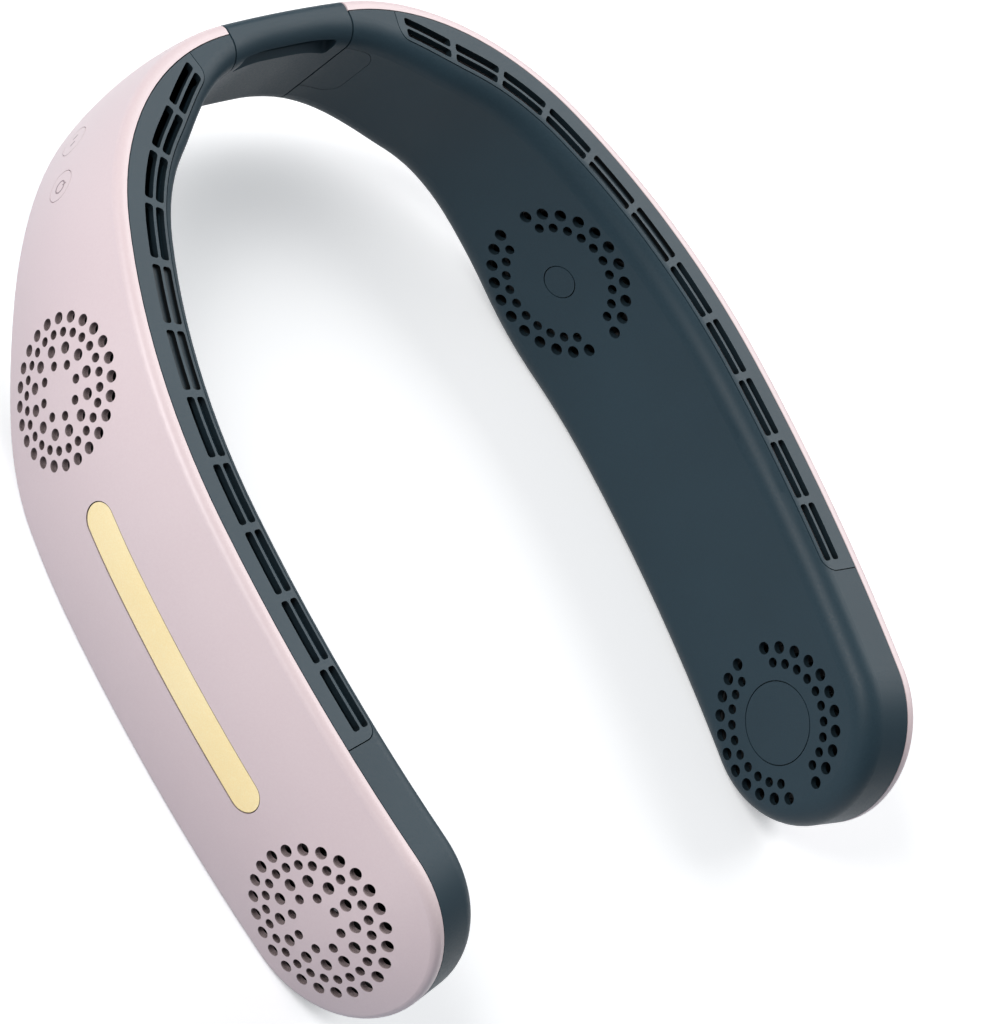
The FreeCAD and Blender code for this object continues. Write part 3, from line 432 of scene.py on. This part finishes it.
@dataclass
class Mark:
    """One thin pad-printed sign on a button's crowned face, built in the button's own frame."""

    name: str
    body: Body
    place: Matrix
    rise_mm: float
    slope: tuple[float, float]
    crown_mm: float = 75.0
    ink_mm: float = 0.03
    sink_mm: float = 0.01
    ring_steps: int = 48
    corner_steps: int = 3
    corner_share: float = 0.45
    bm: bmesh.types.BMesh = field(default_factory=bmesh.new)

    def ring(self, inner: float, outer: float) -> None:
        """Print a closed ring.

        Args:
            inner: Inner radius, in millimetres.
            outer: Outer radius, in millimetres.
        """
        corners = ((inner, 0.0), (outer, 0.0), (outer, self.ink_mm), (inner, self.ink_mm))
        verts = [self.bm.verts.new((x * MM, 0.0, z * MM)) for x, z in corners]
        edges = [self.bm.edges.new((verts[i], verts[(i + 1) % len(verts)])) for i in range(len(verts))]
        bmesh.ops.spin(self.bm, geom=verts + edges, cent=(0, 0, 0), axis=(0, 0, 1), angle=2 * math.pi,
                       steps=self.ring_steps, use_merge=True)

    def dash(self, centre: tuple[float, float], size: tuple[float, float], turn: float) -> None:
        """Print a short bar with round ends.

        Args:
            centre: Middle of the bar, in millimetres.
            size: Length and width, in millimetres.
            turn: Turn of the bar from level, in degrees.
        """
        thick = self.ink_mm * MM
        scaled = Matrix.Diagonal((size[0] * MM, size[1] * MM, thick, 1.0))
        turned = Matrix.Rotation(math.radians(turn), 4, "Z")
        moved = Matrix.Translation((centre[0] * MM, centre[1] * MM, thick / 2))
        bar = bmesh.ops.create_cube(self.bm, size=1.0, matrix=moved @ turned @ scaled)
        edges = {edge for vert in bar["verts"] for edge in vert.link_edges}
        upright = [edge for edge in edges if abs(edge.verts[0].co.z - edge.verts[1].co.z) > thick / 2]
        bmesh.ops.bevel(self.bm, geom=upright, offset=size[1] * MM * self.corner_share, offset_type="OFFSET",
                        segments=self.corner_steps, profile=0.5, affect="EDGES", material=-1)

    def finish(self, material: bpy.types.Material) -> None:
        """Bend the print onto the crown and turn it into an object that rides on its button.

        Args:
            material: The ink.
        """
        for vert in self.bm.verts:
            x, y = vert.co.x, vert.co.y
            tilt = x * self.slope[0] + y * self.slope[1]
            drop = (x * x + y * y) / (2 * self.crown_mm * MM)
            vert.co.z += (self.rise_mm - self.sink_mm) * MM + tilt - drop
        bmesh.ops.transform(self.bm, matrix=self.place, verts=self.bm.verts)
        bmesh.ops.recalc_face_normals(self.bm, faces=self.bm.faces)
        mesh = bpy.data.meshes.new(self.name)
        self.bm.to_mesh(mesh)
        self.bm.free()
        mesh.materials.append(material)
        mark = bpy.data.objects.new(self.name, mesh)
        bpy.context.scene.collection.objects.link(mark)
        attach(mark, self.body.value)


@dataclass
class Controls(Assembly):
    """Buttons with their marks, board, switches, socket, batteries and link cable, with sizes in millimetres."""

    plan: Plan = field(default_factory=Plan)
    level: float = 30.4
    aside: float = 0.28
    power_station: float = 74.96
    power_rise: float = 0.163
    power_slope: tuple[float, float] = (0.014, 0.024)
    ring_radii: tuple[float, float] = (1.3, 1.65)
    bar_middle: tuple[float, float] = (0.0, 1.5)
    bar_size: tuple[float, float] = (1.3, 0.36)
    bar_turn: float = 90.0
    mode_station: float = 61.44
    mode_rise: float = 0.0
    mode_slope: tuple[float, float] = (0.010, 0.032)
    stroke_middles: tuple[tuple[float, float], ...] = ((-1.15, -0.1), (1.0, -0.1))
    stroke_size: tuple[float, float] = (1.6, 0.4)
    stroke_turn: float = 114.0

    def finishes(self) -> dict[str, Finish]:
        """Finish of each button, switch, battery and connection."""
        return {"power_button": PINK, "mode_button": PINK, "power_switch": SWITCH, "mode_switch": SWITCH,
                "right_battery": FOIL, "left_battery": FOIL, "control_board": BOARD, "usb_c_socket": PLATE,
                "usb_c_tongue": SWITCH, "link_cable": CABLE}

    def marks(self, ink: bpy.types.Material) -> list[str]:
        """Print a plain power sign and a plain mode sign on the two buttons.

        Args:
            ink: What the signs are printed with.

        Returns:
            Names of the two signs.
        """
        aside = Matrix.Translation((self.aside * MM, 0, 0))
        power = Mark("power_mark", Body.POWER, self.plan.frame_at(self.power_station, self.level) @ aside,
                     self.power_rise, self.power_slope)
        power.ring(*self.ring_radii)
        power.dash(self.bar_middle, self.bar_size, self.bar_turn)
        power.finish(ink)
        mode = Mark("mode_mark", Body.MODE, self.plan.frame_at(self.mode_station, self.level) @ aside.inverted(),
                    self.mode_rise, self.mode_slope)
        for middle in self.stroke_middles:
            mode.dash(middle, self.stroke_size, self.stroke_turn)
        mode.finish(ink)
        return [power.name, mode.name]

    def dress(self, paints: Paints) -> list[str]:
        """Give the controls their finishes, print the buttons' signs and name all these pieces."""
        return super().dress(paints) + self.marks(paints[INK.name])


@dataclass(frozen=True)
class Lamp:
    """One soft square lamp, its place and its side in metres and its power in watts."""

    name: str
    place: tuple[float, float, float]
    side: float
    watts: float

    def hang(self, aim: tuple[float, float, float]) -> None:
        """Hang the lamp so that it faces a point.

        Args:
            aim: The point it faces, in metres.
        """
        data = bpy.data.lights.new(self.name, "AREA")
        data.size = self.side
        data.energy = self.watts
        lamp = bpy.data.objects.new(self.name, data)
        towards = Vector(aim) - Vector(self.place)
        lamp.matrix_world = Matrix.Translation(self.place) @ towards.to_track_quat("-Z", "Y").to_matrix().to_4x4()
        bpy.context.scene.collection.objects.link(lamp)


@dataclass
class Studio:
    """Pale floor, soft lights and the camera at the photograph's angle."""

    image: tuple[int, int] = (996, 1024)
    focal_px: float = 5361.44
    sensor_mm: float = 36.0
    clip_m: tuple[float, float] = (0.05, 20.0)
    location_mm: tuple[float, float, float] = (-870.34, -177.789, 767.97)
    right: tuple[float, float, float] = (0.62073982, -0.45502835, 0.63846009)
    up: tuple[float, float, float] = (0.19902061, 0.87912311, 0.43305122)
    back: tuple[float, float, float] = (-0.7583356, -0.14174542, 0.63626674)
    floor_reach_m: float = 6.0
    floor_drop_mm: float = 0.05
    floor_bounce: str = "#8d97a8"
    floor_paper: str = "#fafafa"
    floor_glow: str = "#ffffff"
    floor_glow_strength: float = 0.33
    room: str = "#e4ecf6"
    room_strength: float = 0.25
    aim_m: tuple[float, float, float] = (0.0, 0.0, 0.025)
    lamps: tuple[Lamp, ...] = (
        Lamp("key_softbox", (-1.33, 0.76, 1.14), side=1.0, watts=29.0),
        Lamp("sheen_softbox", (1.25, 0.25, 1.1), side=1.4, watts=20.5))

    def camera(self) -> None:
        """Make the camera that sees the fan as the photograph does."""
        data = bpy.data.cameras.new("photo_camera")
        data.sensor_width = self.sensor_mm
        data.lens = self.focal_px / max(self.image) * self.sensor_mm
        data.clip_start, data.clip_end = self.clip_m
        camera = bpy.data.objects.new("photo_camera", data)
        turned = Matrix((self.right, self.up, self.back)).transposed().to_4x4()
        camera.matrix_world = Matrix.Translation(Vector(self.location_mm) * MM) @ turned
        bpy.context.scene.collection.objects.link(camera)
        bpy.context.scene.camera = camera

    def paper(self) -> bpy.types.Material:
        """Build the floor's paper: white to the eye and in mirrors, greyer in the light it throws back.

        Returns:
            The finished material.
        """
        material, tree, out = blank_material("white_paper_floor")
        paths = add(tree, "ShaderNodeLightPath").outputs
        seen = add(tree, "ShaderNodeMath", {0: paths["Is Camera Ray"], 1: paths["Is Glossy Ray"]},
                   operation="MAXIMUM")
        seen = add(tree, "ShaderNodeMath", {0: seen.outputs[0], 1: paths["Is Transmission Ray"]},
                   operation="MAXIMUM")
        bounce = add(tree, "ShaderNodeBsdfDiffuse", {"Color": linear(self.floor_bounce)})
        paper = add(tree, "ShaderNodeBsdfDiffuse", {"Color": linear(self.floor_paper)})
        glow = add(tree, "ShaderNodeEmission", {
            "Color": linear(self.floor_glow), "Strength": self.floor_glow_strength})
        white = add(tree, "ShaderNodeAddShader", {0: paper.outputs[0], 1: glow.outputs[0]})
        mixed = add(tree, "ShaderNodeMixShader", {0: seen.outputs[0], 1: bounce.outputs[0], 2: white.outputs[0]})
        tree.links.new(mixed.outputs[0], out.inputs["Surface"])
        return material

    def floor(self) -> None:
        """Lay the pale floor a hair below the arms, so that it doesn't flicker through their lower edges."""
        bm = bmesh.new()
        bmesh.ops.create_grid(bm, x_segments=1, y_segments=1, size=self.floor_reach_m,
                              matrix=Matrix.Translation((0, 0, -self.floor_drop_mm * MM)))
        mesh = bpy.data.meshes.new("studio_floor")
        bm.to_mesh(mesh)
        bm.free()
        floor = bpy.data.objects.new("studio_floor", mesh)
        bpy.context.scene.collection.objects.link(floor)
        mesh.materials.append(self.paper())

    def world(self) -> None:
        """Fill the room with an even pale light."""
        world = bpy.data.worlds.new("studio_room")
        world.use_nodes = True
        tree = world.node_tree
        tree.nodes.clear()
        out = tree.nodes.new("ShaderNodeOutputWorld")
        room = add(tree, "ShaderNodeBackground", {"Color": linear(self.room), "Strength": self.room_strength})
        tree.links.new(room.outputs["Background"], out.inputs["Surface"])
        bpy.context.scene.world = world

    def build(self) -> None:
        """Set up the whole studio."""
        self.camera()
        self.world()
        self.floor()
        for lamp in self.lamps:
            lamp.hang(self.aim_m)
        bpy.context.scene.view_settings.view_transform = "Standard"


def main() -> None:
    """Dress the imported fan, print its marks and set up the studio."""
    logging.basicConfig(level=logging.INFO, format="%(name)s: %(message)s")
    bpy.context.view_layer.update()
    paints = {finish.name: finish.material() for finish in FINISHES}
    for assembly in (Housing(), Blowers(), Controls()):
        for piece in assembly.dress(paints):
            LOG.info("%s: %s", type(assembly).__name__, piece)
    Studio().build()


if __name__ == "__main__":
    main()
